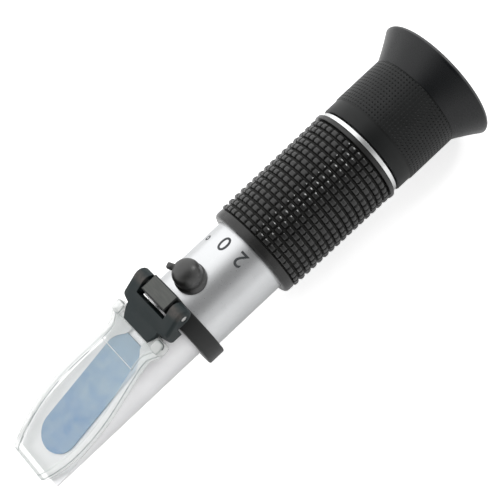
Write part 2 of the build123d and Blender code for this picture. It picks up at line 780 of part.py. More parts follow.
def make_eyecup():
    neck_r = eyecup_neck_d / 2
    rim_r = eyecup_rim_d / 2
    z = axis_z
    seat_x = neck_x + cup_spigot_length + seat_fit
    floor_x = seat_x + cup_floor
    flare_x = rim_x - cup_lip_r
    lean = math.atan2(rim_r - neck_r, flare_x - neck_x)
    inner_rim = rim_r - cup_wall / math.cos(lean)
    inner_floor = neck_r + (floor_x - neck_x) * math.tan(lean) - cup_wall / math.cos(lean)
    crest = rim_r - cup_lip_r
    halfway = cup_lip_r * math.sqrt(0.5)
    seat_r = cup_spigot_d / 2 + seat_fit
    window_r = cup_window_d / 2
    lip = ThreePointArc((flare_x, z + rim_r), (flare_x + halfway, z + crest + halfway), (rim_x, z + crest))
    bell = Polyline((rim_x, z + crest), (rim_x, z + inner_rim + cup_inner_break),
                    (rim_x - cup_inner_break, z + inner_rim), (floor_x, z + inner_floor),
                    (floor_x, z + window_r), (seat_x, z + window_r), (seat_x, z + seat_r),
                    (neck_x, z + seat_r), (neck_x, z + neck_r))
    outline = Line((neck_x, z + neck_r), (flare_x, z + rim_r)) + lip + bell
    return revolve(Plane.XZ * make_face(outline), axis=optical_axis)


# Rubber grip
def stud_ring(station, top_r):
    """One row of studs: a toothed ring whose teeth narrow towards their tops."""
    foot_r = top_r - stud_height + stud_floor_gap
    outline = []
    for column in range(grip_columns):
        turn = column * 360.0 / grip_columns
        foot = stud_foot_width / 2
        top = stud_top_width / 2
        for reach, aside in ((foot_r, -foot), (top_r, -top), (top_r, top), (foot_r, foot)):
            outline.append(Vector(reach, aside).rotate(Axis.Z, turn))
    place = Plane(origin=(station, 0, axis_z), x_dir=(0, 1, 0), z_dir=(1, 0, 0))
    return extrude(place * make_face(Polyline(*outline, close=True)), amount=stud_length)


def make_grip():
    """Sleeve with smooth bands at both ends and rows of studs between them."""
    front_r = grip_front_d / 2
    rear_r = grip_rear_d / 2
    stud_front_r = grip_stud_front_d / 2
    stud_rear_r = grip_stud_rear_d / 2
    start = grip_x + grip_front_band
    end = grip_rear_x - grip_rear_band
    body = turned((grip_x, 0), (grip_x, front_r - 2 * edge_break),
                  (grip_x + edge_break, front_r - edge_break), (grip_x + 2 * edge_break, front_r),
                  (start, front_r), (start, stud_front_r - stud_height), (end, stud_rear_r - stud_height),
                  (end, rear_r), (grip_rear_x - edge_break, rear_r), (grip_rear_x, rear_r - edge_break),
                  (grip_rear_x, 0))
    pitch = (end - start) / grip_rows
    rows = []
    for row in range(grip_rows):
        share = (row + 1) / grip_rows
        top_r = stud_front_r + (stud_rear_r - stud_front_r) * share
        rows.append(stud_ring(start + row * pitch + (pitch - stud_length) / 2, top_r))
    return body + rows - rod(grip_x - cut_over, grip_rear_x + cut_over, tube_r + seat_fit)


nodes = {
    "nose_housing": make_nose,
    "main_prism": make_prism,
    "prism_bedding": make_bedding,
    "nose_seal": make_seal,
    "main_tube": make_tube,
    "hinge_collar": make_collar,
    "collar_screw": make_collar_screw,
    "hinge_bracket": make_bracket,
    "hinge_pin": make_hinge_pin,
    "daylight_plate": make_plate,
    "calibration_bush": make_bush,
    "calibration_screw": make_calibration_screw,
    "calibration_cap": make_cap,
    "lens_carrier": make_carrier,
    "objective_lens": make_objective,
    "objective_ring": make_objective_ring,
    "bimetal_strip": make_strip,
    "strip_screws": make_strip_screws,
    "strip_block": make_strip_block,
    "block_screw": make_block_screw,
    "return_spring": make_return_spring,
    "light_baffle": make_baffle,
    "reticle_holder": make_reticle_holder,
    "reticle": make_reticle,
    "reticle_ring": make_reticle_ring,
    "rear_fitting": make_rear_fitting,
    "focus_key": make_key,
    "lens_cell": make_lens_cell,
    "field_lens": make_field_lens,
    "lens_spacer": make_lens_spacer,
    "eye_lens": make_eye_lens,
    "lens_lock_ring": make_lock_ring,
    "focusing_barrel": make_barrel,
    "thrust_ring": make_thrust_ring,
    "eyecup": make_eyecup,
    "rubber_grip": make_grip,
}

os.makedirs("parts", exist_ok=True)
for name, make in nodes.items():
    part = make()
    export_step(part, "parts/" + name + ".step")
    box = part.bounding_box()
    print(name, [round(v, 2) for v in (*box.min, *box.max)])
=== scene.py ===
# %% [markdown]
# Handheld refractometer, dressed for a photograph.
# The instrument is a tube with a slanted glass prism at one end and an eyepiece at the other.
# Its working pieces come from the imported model: they are already at their real size and place,
# so this lesson only adds what the eye sees. We give every piece a finish, and we remodel the
# pieces whose surface is too fine or too soft for the construction model: the studded rubber
# grip, the knurled focusing barrel, the flared eyecup, the hinge bracket and its collar, the
# clear daylight plate and the rubber cap. A printed mark on the bare tube comes last.

# %% Load the frame
import json
import math
import bmesh
import bpy
from mathutils import Matrix, Vector


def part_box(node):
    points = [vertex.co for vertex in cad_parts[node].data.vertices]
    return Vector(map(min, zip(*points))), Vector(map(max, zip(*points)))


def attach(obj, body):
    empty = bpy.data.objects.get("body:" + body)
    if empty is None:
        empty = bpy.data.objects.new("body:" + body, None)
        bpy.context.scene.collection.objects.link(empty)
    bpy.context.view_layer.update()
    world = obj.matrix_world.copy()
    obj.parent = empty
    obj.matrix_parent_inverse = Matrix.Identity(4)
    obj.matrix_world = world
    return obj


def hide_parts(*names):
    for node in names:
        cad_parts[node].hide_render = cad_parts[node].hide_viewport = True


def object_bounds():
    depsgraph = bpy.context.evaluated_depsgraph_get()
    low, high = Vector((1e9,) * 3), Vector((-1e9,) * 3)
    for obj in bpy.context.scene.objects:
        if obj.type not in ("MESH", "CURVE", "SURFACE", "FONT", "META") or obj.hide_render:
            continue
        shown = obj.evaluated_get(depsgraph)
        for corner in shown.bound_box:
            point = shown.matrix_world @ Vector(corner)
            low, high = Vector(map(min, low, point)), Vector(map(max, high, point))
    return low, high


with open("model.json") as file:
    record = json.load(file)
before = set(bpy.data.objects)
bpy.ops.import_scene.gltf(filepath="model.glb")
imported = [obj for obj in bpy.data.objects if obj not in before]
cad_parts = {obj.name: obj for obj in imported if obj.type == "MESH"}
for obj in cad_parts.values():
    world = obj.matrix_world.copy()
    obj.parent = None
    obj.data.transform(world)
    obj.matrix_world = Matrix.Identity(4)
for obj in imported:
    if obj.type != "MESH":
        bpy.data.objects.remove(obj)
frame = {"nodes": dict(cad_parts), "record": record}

mm = 0.001
cad_box = [list(corner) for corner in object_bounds()]
nodes = frame["nodes"]
cup_low, cup_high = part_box("eyecup")
axis_height = (cup_low.z + cup_high.z) / 2
print("pieces in the frame:", len(nodes), "optical axis at", round(axis_height / mm, 2), "mm")

# %% [markdown]
# The camera looks down on the instrument, with the nose at the lower left of the picture.
# We could place it by hand and turn it until it looks right, but three angles say it better:
# how far it leans along the tube, how far it tilts over the side, and how it rolls.
# From these we build the camera's own right, up and backward directions and use them as the
# columns of its matrix. A long lens keeps the tube from tapering too much.

# %% Camera
view_lean = math.radians(-6.08)
view_tilt = math.radians(29.5)
view_roll = math.radians(43.14)
view_distance = 364.2 * mm
view_centre = Vector((5.8 * mm, 0, axis_height))
lens_length = 94.1
sensor_width = 36.0
picture_shift = (-0.00456, 0.00482)
nearest_seen = 10 * mm

backward = Vector((math.sin(view_lean), -math.cos(view_lean) * math.sin(view_tilt),
                   math.cos(view_lean) * math.cos(view_tilt)))
tube_along = (Vector((1, 0, 0)) - backward * backward.x).normalized()
tube_across = backward.cross(tube_along)
right = tube_along * math.cos(view_roll) - tube_across * math.sin(view_roll)
up = tube_along * math.sin(view_roll) + tube_across * math.cos(view_roll)


def add_to_scene(name, data):
    """A new object that carries the data, linked into the scene."""
    thing = bpy.data.objects.new(name, data)
    bpy.context.scene.collection.objects.link(thing)
    return thing


camera = add_to_scene("photo_camera", bpy.data.cameras.new("photo_camera"))
turned = Matrix((right, up, backward)).transposed().to_4x4()
camera.matrix_world = Matrix.Translation(view_centre + backward * view_distance) @ turned
camera.data.lens = lens_length
camera.data.sensor_width = sensor_width
camera.data.shift_x, camera.data.shift_y = picture_shift
camera.data.clip_start = nearest_seen
bpy.context.scene.camera = camera
print("camera at", [round(v, 3) for v in camera.matrix_world.translation])

# %% [markdown]
# The instrument lies on a white table. The table could be lit until it turns white, but that
# would burn out the silver tube. So its own colour does the work, with a little glow for the
# rays that come straight from the camera or through glass, and a very small one for mirror
# images. It still takes the instrument's shadow. Nodes that do arithmetic choose the glow, and
# the walls need the same arithmetic later, so it gets a helper.

# %% White table
table_colour = (0.93, 0.93, 0.93)
table_glow = 0.70
mirror_glow = 0.12
table_half = 2.5


def add_node(tree, kind, **settings):
    """A new shader node of a kind, with its plain settings."""
    node = tree.nodes.new(kind)
    for key, value in settings.items():
        setattr(node, key, value)
    return node


def multiply_add(tree, *sources):
    """First source times the second plus the third, each a number or another node's output."""
    total = add_node(tree, "ShaderNodeMath", operation="MULTIPLY_ADD")
    for entry, source in zip(total.inputs, sources):
        if isinstance(source, bpy.types.NodeSocket):
            tree.links.new(source, entry)
        else:
            entry.default_value = source
    return total.outputs[0]


def glow_for_views(tree, direct, mirrored):
    """A glow for the rays from the camera or through glass, and another one for reflections."""
    path = add_node(tree, "ShaderNodeLightPath")
    either = add_node(tree, "ShaderNodeMath", operation="MAXIMUM")
    tree.links.new(path.outputs["Is Camera Ray"], either.inputs[0])
    tree.links.new(path.outputs["Is Transmission Ray"], either.inputs[1])
    straight = multiply_add(tree, either.outputs[0], direct, 0.0)
    return multiply_add(tree, path.outputs["Is Glossy Ray"], mirrored, straight)


def start_finish(name, colour, roughness, metallic=0.0, shine=0.5):
    """A new finish and its shader, with a plain colour, roughness, metal share and shine."""
    material = bpy.data.materials.new(name)
    material.use_nodes = True
    shader = material.node_tree.nodes["Principled BSDF"]
    shader.inputs["Base Color"].default_value = (*colour, 1)
    shader.inputs["Roughness"].default_value = roughness
    shader.inputs["Metallic"].default_value = metallic
    shader.inputs["Specular IOR Level"].default_value = shine
    print("finish", name)
    return material, shader


def mesh_from(shape, name):
    """The shape in the workshop as a mesh of its own."""
    mesh = bpy.data.meshes.new(name)
    shape.to_mesh(mesh)
    shape.free()
    return mesh


def make_table():
    corners = [(-table_half, -table_half), (table_half, -table_half),
               (table_half, table_half), (-table_half, table_half)]
    sheet = bmesh.new()
    sheet.faces.new([sheet.verts.new((x, y, cad_box[0][2])) for x, y in corners])
    table = add_to_scene("studio_table", mesh_from(sheet, "studio_table"))
    material, shader = start_finish("white_table", table_colour, 0.9, shine=0.1)
    shader.inputs["Emission Color"].default_value = (1, 1, 1, 1)
    tree = material.node_tree
    tree.links.new(glow_for_views(tree, table_glow, mirror_glow), shader.inputs["Emission Strength"])
    table.data.materials.append(material)


make_table()
print("table at", round(cad_box[0][2] / mm, 2), "mm")

# %% [markdown]
# White studio walls make a soft light all round. We could hang many lamps, but the walls
# themselves can be brighter or darker in places, and then every piece mirrors them rightly. They
# are brighter beyond the instrument, and darker round the camera and over the nose, because satin
# metal and the black eyecup only show their roundness where they mirror something darker. One
# small soft lamp on the eyepiece's side adds the glints on the studs of the grip.

# %% Studio light
wall_level = 0.72
far_side = (0, 0.9, 0.43)
far_side_fade = (0.0, 0.75)
far_side_gain = 0.64
camera_side_fade = (0.74, 0.96)
camera_side_loss = 0.46
over_nose = (-0.77, -0.32, 0.56)
over_nose_fade = (0.80, 0.97)
over_nose_loss = 0.36
lamp_place = (0.66, -0.13, 0.45)
lamp_aim = (0, 0, 0.02)
lamp_side = 0.12
lamp_level = 17.0


def smooth_fade(tree, source, start, end):
    """0 where the source is at the start or before, 1 at the end or past it, soft between."""
    fade = add_node(tree, "ShaderNodeMapRange", interpolation_type="SMOOTHSTEP")
    fade.inputs["From Min"].default_value = start
    fade.inputs["From Max"].default_value = end
    tree.links.new(source, fade.inputs["Value"])
    return fade.outputs[0]


def towards(tree, direction, start, end):
    """0 to 1 as a ray from the studio turns towards a direction."""
    ray = add_node(tree, "ShaderNodeTexCoord")
    share = add_node(tree, "ShaderNodeVectorMath", operation="DOT_PRODUCT")
    tree.links.new(ray.outputs["Generated"], share.inputs[0])
    share.inputs[1].default_value = direction
    return smooth_fade(tree, share.outputs["Value"], start, end)


def make_studio_walls():
    world = bpy.data.worlds.new("white_studio")
    world.use_nodes = True
    bpy.context.scene.world = world
    tree = world.node_tree
    background = tree.nodes["Background"]
    background.inputs["Color"].default_value = (1, 1, 1, 1)
    strength = wall_level
    for direction, fade, change in ((far_side, far_side_fade, far_side_gain),
                                    (backward, camera_side_fade, -camera_side_loss),
                                    (over_nose, over_nose_fade, -over_nose_loss)):
        strength = multiply_add(tree, towards(tree, direction, *fade), change, strength)
    tree.links.new(strength, background.inputs["Strength"])


def square_lamp(name, place, aim, side, level):
    """A soft lamp whose surface looks as bright as the level, where 1 is white."""
    lamp = add_to_scene(name, bpy.data.lights.new(name, "AREA"))
    lamp.data.shape = "RECTANGLE"
    lamp.data.size = side
    lamp.data.size_y = side
    lamp.data.energy = level * math.pi * side * side
    lamp.location = place
    lamp.rotation_euler = (Vector(aim) - Vector(place)).to_track_quat("-Z", "Y").to_euler()
    print(name, "gives", round(lamp.data.energy, 2), "watts")


make_studio_walls()
square_lamp("eye_side_lamp", lamp_place, lamp_aim, lamp_side, lamp_level)
bpy.context.scene.view_settings.view_transform = "Standard"

# %% [markdown]
# A finish is one shader with plain values, and then something that breaks its evenness. Four
# small tools do that for all finishes: a grain, a shift of the gloss by it, a shift of the colour
# by it, and a relief of some thousandths of a millimetre. Each is told the shader, whose id_data
# is the node tree it stands in. The grain could be a picture that is wrapped round each piece,
# but noise in the object's own coordinates needs no wrapping and stays on a piece when it moves.
# Real edges are never sharp, so the relief can also bend the shading near an edge, as a small
# rounding would.

# %% Tools for finishes
noise_low = 0.3
noise_high = 0.7


def grain(shader, size, stretch=(1, 1, 1), detail=3.0):
    """Noise whose lumps have about the given size in metres, stretched along the three axes."""
    tree = shader.id_data
    place = add_node(tree, "ShaderNodeTexCoord")
    spread = add_node(tree, "ShaderNodeMapping")
    spread.inputs["Scale"].default_value = [1 / s for s in stretch]
    noise = add_node(tree, "ShaderNodeTexNoise")
    noise.inputs["Scale"].default_value = 1 / size
    noise.inputs["Detail"].default_value = detail
    tree.links.new(place.outputs["Object"], spread.inputs["Vector"])
    tree.links.new(spread.outputs[0], noise.inputs["Vector"])
    return noise.outputs["Fac"]


def shift_gloss(shader, source, low, high):
    """Roughness that runs between two values with a grain."""
    tree = shader.id_data
    spread = add_node(tree, "ShaderNodeMapRange")
    spread.inputs["From Min"].default_value = noise_low
    spread.inputs["From Max"].default_value = noise_high
    spread.inputs["To Min"].default_value = low
    spread.inputs["To Max"].default_value = high
    tree.links.new(source, spread.inputs["Value"])
    tree.links.new(spread.outputs[0], shader.inputs["Roughness"])


def shift_colour(shader, source, first, second, low=noise_low, high=noise_high):
    """Colour that runs from the first to the second as the source goes from low to high."""
    tree = shader.id_data
    ramp = add_node(tree, "ShaderNodeValToRGB")
    for stop, place, colour in zip(ramp.color_ramp.elements, (low, high), (first, second)):
        stop.position = place
        stop.color = (*colour, 1)
    tree.links.new(source, ramp.inputs["Fac"])
    tree.links.new(ramp.outputs["Color"], shader.inputs["Base Color"])


def raise_grain(shader, source, height, edge_radius=0.0):
    """Relief of a height in metres, over an edge that looks rounded."""
    tree = shader.id_data
    relief = add_node(tree, "ShaderNodeBump")
    relief.inputs["Distance"].default_value = height
    relief.inputs["Strength"].default_value = 1.0
    tree.links.new(source, relief.inputs["Height"])
    if edge_radius > 0:
        edge = add_node(tree, "ShaderNodeBevel", samples=6)
        edge.inputs["Radius"].default_value = edge_radius
        tree.links.new(edge.outputs["Normal"], relief.inputs["Normal"])
    tree.links.new(relief.outputs["Normal"], shader.inputs["Normal"])


print("grain runs from", noise_low, "to", noise_high, "for most of its lumps")

# %% [markdown]
# The tube and the nose are turned from aluminium, blasted to a satin and anodised in silver.
# A grey paint would look flat here. A full metal shader is right, because bare anodised metal
# takes its whole look from what it mirrors. The roughness spreads the mirror image, and very fine
# rings from the lathe run round the tube: noise that is drawn out round it. The nose is blasted
# coarser than the tube, and the ring behind the grip is left bright.

# %% Silver finishes
round_the_tube = (1, 60, 60)


def satin_aluminium():
    material, shader = start_finish("satin_aluminium", (0.70, 0.71, 0.72), 0.30, 1.0)
    blasted = grain(shader, 0.4 * mm)
    shift_gloss(shader, blasted, 0.27, 0.34)
    cloud = grain(shader, 9 * mm)
    shift_colour(shader, cloud, (0.68, 0.69, 0.70), (0.73, 0.74, 0.75))
    rings = grain(shader, 0.25 * mm, round_the_tube)
    raise_grain(shader, rings, 0.004 * mm, 0.15 * mm)
    return material


def blasted_nose():
    material, shader = start_finish("blasted_nose", (0.86, 0.86, 0.87), 0.42, 1.0)
    blasted = grain(shader, 0.5 * mm)
    shift_gloss(shader, blasted, 0.38, 0.46)
    cloud = grain(shader, 9 * mm)
    shift_colour(shader, cloud, (0.84, 0.84, 0.85), (0.89, 0.89, 0.90))
    raise_grain(shader, blasted, 0.004 * mm, 0.15 * mm)
    return material


def bright_aluminium():
    material, shader = start_finish("bright_aluminium", (0.86, 0.87, 0.87), 0.2, 1.0)
    rings = grain(shader, 0.2 * mm, round_the_tube)
    shift_gloss(shader, rings, 0.16, 0.26)
    raise_grain(shader, rings, 0.003 * mm, 0.12 * mm)
    return material


tube_silver = satin_aluminium()
nose_silver = blasted_nose()
ring_silver = bright_aluminium()

# %% [markdown]
# The collar, the lens mounts and the barrel are anodised black. The dye leaves a dark layer that
# is not a paint but shines like satin. It could be a dark metal, yet the dye hides the metal, so
# a plain dark shader with a weak shine comes nearer. The hinge bracket is moulded in a slate
# coloured plastic with the fine spark grain of its mould. The tops of its two arms are painted a
# lighter, warmer grey, a painted highlight for the shine their rounded crests catch, which we draw
# by the distance from a line along their crests.

# %% Black and slate finishes
# Where the painted highlight on the bracket's arms lies, and how far it fades.
arm_highlight_line = (-22.2 * mm, 0, axis_height + 18.8 * mm)
arm_highlight_fade = (2.3 * mm, 0.3 * mm)
cloud_share = 0.2


def black_anodised(name, shine):
    material, shader = start_finish(name, (0.009, 0.010, 0.010), 0.34, shine=shine)
    cloud = grain(shader, 6 * mm)
    shift_colour(shader, cloud, (0.007, 0.008, 0.008), (0.011, 0.012, 0.012))
    fine = grain(shader, 0.3 * mm)
    shift_gloss(shader, fine, 0.31, 0.42)
    raise_grain(shader, fine, 0.006 * mm, 0.2 * mm)
    return material


def painted_arm_highlight(tree):
    """1 along the top of the hinge arms, fading to 0 a few millimetres away: where the painted highlight
    lies.
    """
    place = add_node(tree, "ShaderNodeTexCoord")
    flat = add_node(tree, "ShaderNodeVectorMath", operation="MULTIPLY")
    flat.inputs[1].default_value = (1, 0, 1)
    tree.links.new(place.outputs["Object"], flat.inputs[0])
    away = add_node(tree, "ShaderNodeVectorMath", operation="DISTANCE")
    away.inputs[1].default_value = arm_highlight_line
    tree.links.new(flat.outputs[0], away.inputs[0])
    return smooth_fade(tree, away.outputs["Value"], *arm_highlight_fade)


def slate_moulding():
    material, shader = start_finish("slate_moulding", (0.020, 0.029, 0.032), 0.45, shine=0.3)
    tree = material.node_tree
    cloud = multiply_add(tree, grain(shader, 5 * mm), cloud_share, 0.0)
    # Painted highlight: the arm crests get a lighter, warmer colour for the shine they catch.
    arm_highlight = multiply_add(tree, painted_arm_highlight(tree), grain(shader, 1.1 * mm), cloud)
    shift_colour(shader, arm_highlight, (0.014, 0.024, 0.026), (0.085, 0.078, 0.072), 0.06, 0.7)
    spark = grain(shader, 0.22 * mm, detail=5.0)
    shift_gloss(shader, spark, 0.38, 0.55)
    raise_grain(shader, spark, 0.012 * mm, 0.25 * mm)
    return material


barrel_black = black_anodised("black_anodised", 0.3)
collar_black = black_anodised("black_collar", 0.46)
bracket_slate = slate_moulding()

# %% [markdown]
# Three rubbers meet on the instrument. The grip is a firm moulded rubber whose stud tops are
# rubbed to a slight shine. The cap over the calibration screw and the seals are matt. The eyecup
# is softer and has a velvety bloom. One black for all would be quicker, but on black pieces the
# gloss is all that tells them apart, so each gets its own, and the eyecup a little sheen.

# %% Rubbers


def grip_rubber():
    material, shader = start_finish("grip_rubber", (0.012, 0.012, 0.012), 0.2, shine=0.6)
    cloud = grain(shader, 4 * mm)
    shift_colour(shader, cloud, (0.008, 0.008, 0.008), (0.014, 0.014, 0.013))
    fine = grain(shader, 0.35 * mm)
    shift_gloss(shader, fine, 0.16, 0.27)
    raise_grain(shader, fine, 0.01 * mm)
    return material


def cap_rubber():
    material, shader = start_finish("cap_rubber", (0.016, 0.016, 0.015), 0.36, shine=0.95)
    fine = grain(shader, 0.25 * mm, detail=4.0)
    shift_colour(shader, fine, (0.013, 0.013, 0.012), (0.018, 0.018, 0.017))
    shift_gloss(shader, fine, 0.32, 0.42)
    raise_grain(shader, fine, 0.01 * mm, 0.2 * mm)
    return material


def eyecup_rubber():
    material, shader = start_finish("eyecup_rubber", (0.004, 0.005, 0.006), 0.3, shine=0.4)
    shader.inputs["Sheen Weight"].default_value = 0.04
    shader.inputs["Sheen Roughness"].default_value = 0.25
    cloud = grain(shader, 8 * mm)
    shift_colour(shader, cloud, (0.002, 0.003, 0.004), (0.005, 0.006, 0.007))
    fine = grain(shader, 0.3 * mm, detail=4.0)
    shift_gloss(shader, fine, 0.24, 0.34)
    raise_grain(shader, fine, 0.006 * mm)
    return material


stud_rubber = grip_rubber()
soft_rubber = cap_rubber()
cup_rubber = eyecup_rubber()

# %% [markdown]
# The prism is solid optical glass. Seen from above, its ground underside and the dark bore
# behind it give the block a cool blue, which deepens towards the tip. Pure clear glass in the
# model would only show white metal, so most of the light is held back inside a blue body with a
# soft cloud in it, under a polished surface. The lenses are clear glass.

# %% Prism and lens glass
glass_index = 1.52
hinge_end_share = 0.55


def prism_glass():
    material, shader = start_finish("prism_glass", (0.17, 0.38, 0.64), 0.06)
    shader.inputs["IOR"].default_value = glass_index
    shader.inputs["Transmission Weight"].default_value = 0.12
    tree = material.node_tree
    place = add_node(tree, "ShaderNodeTexCoord")
    split = add_node(tree, "ShaderNodeSeparateXYZ")
    tree.links.new(place.outputs["Generated"], split.inputs[0])
    cloud = grain(shader, 3.6 * mm, detail=4.0)
    blend = multiply_add(tree, split.outputs["X"], hinge_end_share, cloud)
    shift_colour(shader, blend, (0.08, 0.31, 0.64), (0.31, 0.51, 0.70), 0.42, 0.92)
    fine = grain(shader, 1.5 * mm)
    shift_gloss(shader, fine, 0.05, 0.09)
    return material


def lens_glass():
    material, shader = start_finish("lens_glass", (0.93, 0.97, 0.96), 0.02)
    shader.inputs["IOR"].default_value = glass_index
    shader.inputs["Transmission Weight"].default_value = 1.0
    fine = grain(shader, 2 * mm)
    shift_gloss(shader, fine, 0.01, 0.03)
    return material


prism_blue = prism_glass()
lens_clear = lens_glass()

# %% [markdown]
# The daylight plate is one clear moulding, yet it shows several looks. Its raised border takes in
# light at every edge and looks milky, its thin middle is clear, its underside is ground near the
# hinge, and its small edge roundings bend light away and show as thin grey lines. One clear glass
# shader should give them all by itself, but that needs far more light paths than a picture is
# worth, and it would shade the prism. So each look is a plastic of its own that lets a share of
# the picture behind it through.

# %% Plastics of the daylight plate


def plate_plastic(name, colour, roughness, cover, lump, shades, glosses, gloss_lump=None, detail=3.0):
    """A plastic that covers a share of what lies behind, clouded in lumps of a size in metres."""
    material, shader = start_finish(name, colour, roughness)
    shader.inputs["Alpha"].default_value = cover
    cloud = grain(shader, lump, detail=detail)
    shift_colour(shader, cloud, *shades)
    fine = grain(shader, gloss_lump) if gloss_lump else cloud
    shift_gloss(shader, fine, *glosses)
    return material


milky_border = plate_plastic("milky_plastic", (0.95, 0.965, 0.955), 0.1, 0.43, 5 * mm,
                             ((0.93, 0.96, 0.94), (0.97, 0.98, 0.97)), (0.08, 0.16), 1.2 * mm, 2.0)
clear_middle = plate_plastic("clear_plastic", (0.90, 0.94, 0.92), 0.12, 0.16, 6 * mm,
                             ((0.86, 0.91, 0.88), (0.93, 0.96, 0.94)), (0.08, 0.18), 1.2 * mm, 2.0)
grey_line = plate_plastic("edge_line", (0.36, 0.40, 0.39), 0.15, 0.75, 3 * mm,
                          ((0.28, 0.33, 0.32), (0.50, 0.55, 0.53)), (0.1, 0.2))
ground_underside = plate_plastic("frosted_plastic", (0.92, 0.94, 0.93), 0.55, 0.93, 0.8 * mm,
                                 ((0.89, 0.92, 0.92), (0.95, 0.96, 0.96)), (0.5, 0.65))
ear_reflection = plate_plastic("dark_mirror", (0.06, 0.065, 0.062), 0.12, 0.85, 0.9 * mm,
                               ((0.03, 0.034, 0.032), (0.16, 0.17, 0.165)), (0.08, 0.2))

# %% [markdown]
# Brass and steel are hidden for the most part: the calibration screw and its bush under the cap,
# the two-metal strip, the small screws and the hinge pin, whose ends do show. They could stay
# plain, but the cap comes off in use, so both metals get the fine marks of turning.

# %% Brass and steel


def turned_brass():
    material, shader = start_finish("turned_brass", (0.72, 0.53, 0.25), 0.3, 1.0)
    rings = grain(shader, 0.2 * mm, (6, 6, 1))
    shift_gloss(shader, rings, 0.24, 0.38)
    shift_colour(shader, rings, (0.68, 0.50, 0.23), (0.76, 0.57, 0.28))
    raise_grain(shader, rings, 0.004 * mm, 0.1 * mm)
    return material


def plain_steel():
    material, shader = start_finish("plain_steel", (0.56, 0.56, 0.55), 0.3, 1.0)
    fine = grain(shader, 0.2 * mm)
    shift_gloss(shader, fine, 0.22, 0.36)
    shift_colour(shader, fine, (0.52, 0.52, 0.51), (0.60, 0.60, 0.59))
    raise_grain(shader, fine, 0.003 * mm, 0.1 * mm)
    return material


screw_brass = turned_brass()
screw_steel = plain_steel()

# %% [markdown]
# Several pieces are turned or moulded round the tube. A cylinder with modifiers could do for some
# of them, but one way serves them all: rings of points, one after the other along the tube, with
# a wall of faces from each ring to the next. Where the last ring joins the first again the piece
# is one closed skin. A wave round the ring, given as shares of one stud, makes its pattern.

# %% Tools for woven pieces
merge_distance = 0.0001 * mm


def on_tube(station, radius, angle):
    """Point at a station along the optical axis, at an angle that turns from +Y towards +Z."""
    return (station, radius * math.cos(angle), axis_height + radius * math.sin(angle))


def from_axis(point):
    """Distance of a point from the optical axis."""
    return math.hypot(point.y, point.z - axis_height)


def wave_round(columns, wave):
    """Angles round the tube, each with the height of the wave there."""
    return [((column + share) / columns * math.tau, height)
            for column in range(columns) for share, height in wave]


def plain_rings(around, profile):
    """Round rings through the stations and radii of a profile."""
    return [[on_tube(station, radius, angle) for angle, _ in around] for station, radius in profile]


def join_rings(skin, rings, closed=False):
    """Walls of faces from each ring of points to the next, and to the first again if closed."""
    rows = [[skin.verts.new(point) for point in ring] for ring in rings]
    walls = []
    for row, following in zip(rows, rows[1:] + rows[:1] if closed else rows[1:]):
        pairs = list(zip(row, following))
        walls.append([skin.faces.new((a, b, d, c)) for (a, c), (b, d) in zip(pairs, pairs[1:] + pairs[:1])])
    return rows, walls


def merge_and_turn(skin):
    """Merge points that meet, and turn all faces outwards."""
    bmesh.ops.remove_doubles(skin, verts=skin.verts, dist=merge_distance)
    bmesh.ops.recalc_face_normals(skin, faces=skin.faces)


def finish_piece(name, mesh, material, body, sharp_angle=35.0):
    """Put a mesh into the scene with its finish, and let it ride on a body of the model."""
    mesh.shade_smooth()
    mesh.set_sharp_from_angle(angle=math.radians(sharp_angle))
    mesh.materials.append(material)
    piece = add_to_scene(name, mesh)
    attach(piece, body)
    print(name, "has", len(mesh.polygons), "faces")
    return piece


def weave(name, rings, material, body, sharp_angle=35.0):
    """One closed skin through rings of points, where the last ring joins the first again."""
    skin = bmesh.new()
    join_rings(skin, rings, closed=True)
    merge_and_turn(skin)
    wires = [edge for edge in skin.edges if not edge.link_faces]
    bmesh.ops.delete(skin, geom=wires, context="EDGES")
    return finish_piece(name, mesh_from(skin, name), material, body, sharp_angle)


def second_finish_on(piece, material, chosen):
    """Give the faces that are chosen a second finish."""
    piece.data.materials.append(material)
    faces = [face for face in piece.data.polygons if chosen(face)]
    for face in faces:
        face.material_index = 1
    print(len(faces), "faces get", material.name)


print("points closer than", merge_distance / mm, "mm are merged")

# %% [markdown]
# The rubber grip is a sleeve with rows of small studs. Each stud could be a separate block that
# is copied round the sleeve, but the real one is a single moulding, so we weave one closed skin
# where each point's height is the product of a wave along the tube and a wave round it. Where
# both waves are high there is a stud, elsewhere a groove. The studs grow a little towards the
# eyepiece, and smooth bands close both ends. The floor between them stays matt, as no hand
# rubs it.

# %% Studded rubber grip
grip_low, grip_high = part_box("rubber_grip")
stud_rows = 16
stud_columns = 40
stud_depth = 1.05 * mm
stud_top_r = 14.9 * mm
stud_growth = 0.3 * mm
cross_groove = 0.62
front_band = 3.0 * mm
front_band_r = 14.6 * mm
rear_band = 1.7 * mm
rear_band_r = 15.4 * mm
grip_bore = 12.2 * mm
floor_r = (13 * mm, 14.2 * mm)
stud_wave = [(0.0, 0.0), (0.07, 0.05), (0.15, 0.75), (0.28, 1.0), (0.58, 1.0), (0.75, 0.84),
             (0.80, 0.66), (0.88, 0.05)]
cross_wave = [(0.0, 0.0), (0.10, 0.55), (0.18, 0.92), (0.28, 1.0), (0.72, 1.0), (0.82, 0.92),
              (0.90, 0.55)]


